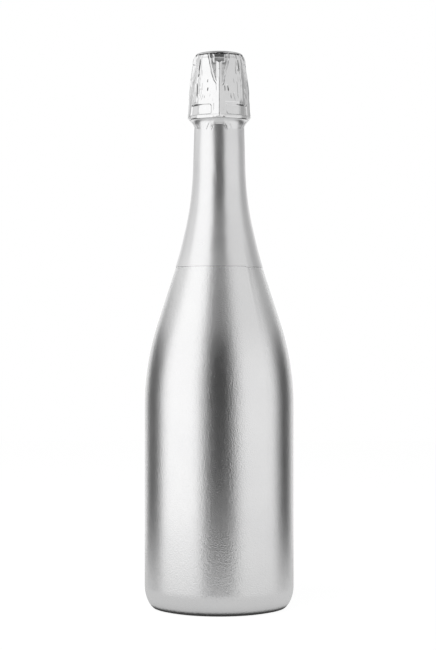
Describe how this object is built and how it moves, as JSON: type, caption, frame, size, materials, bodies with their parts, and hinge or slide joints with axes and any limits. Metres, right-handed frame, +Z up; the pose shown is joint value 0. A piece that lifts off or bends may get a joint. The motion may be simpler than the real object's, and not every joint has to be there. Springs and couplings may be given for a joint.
{
  "type": "champagne bottle",
  "caption": "Sealed champagne bottle in silver film and foil, with pleated hood, wire cage, cap and mushroom cork that lift off in turn",
  "frame": {"origin": "centre of the ring that the bottle stands on, at the surface it stands on", "axes": "+Z up along the bottle's axis; the picture looks along +Y, so -Y is the side it shows; the tear strip's tab and the belt's eye are at the back"},
  "size_m": [0.088, 0.088, 0.3285],
  "materials": {
    "green_glass": "dark green, smooth",
    "silver_film": "satin silver with a fine hammered grain",
    "neck_foil": "smooth, slightly creased silver foil",
    "hood_foil": "bright crumpled silver foil",
    "tinplate": "plain bright tinplate",
    "wire": "dull galvanised wire",
    "agglomerate_cork": "fine cork grains pressed together",
    "natural_cork": "natural cork with dark pores"
  },
  "bodies": {
    "bottle": {"glass_bottle": "green_glass", "body_sleeve": "silver_film", "neck_foil": "neck_foil", "tear_strip": "neck_foil"},
    "cork": {"cork_barrel": "agglomerate_cork", "cork_disc_upper": "natural_cork", "cork_disc_lower": "natural_cork"},
    "cage": {"plaque": "tinplate", "cage_wire": "wire", "belt_wire": "wire"},
    "hood": {"foil_hood": "hood_foil", "foil_top_disc": "hood_foil"}
  },
  "joints": [
    {"name": "cork_pull", "type": "slide", "parent": "bottle", "child": "cork", "axis": [0, 0, 1], "range_m": [0, 0.035]},
    {"name": "cage_lift", "type": "slide", "parent": "cork", "child": "cage", "axis": [0, 0, 1], "range_m": [0, 0.045], "deforming": ["cage_wire", "belt_wire"]},
    {"name": "hood_lift", "type": "slide", "parent": "cage", "child": "hood", "axis": [0, 0, 1], "range_m": [0, 0.045]}
  ]
}
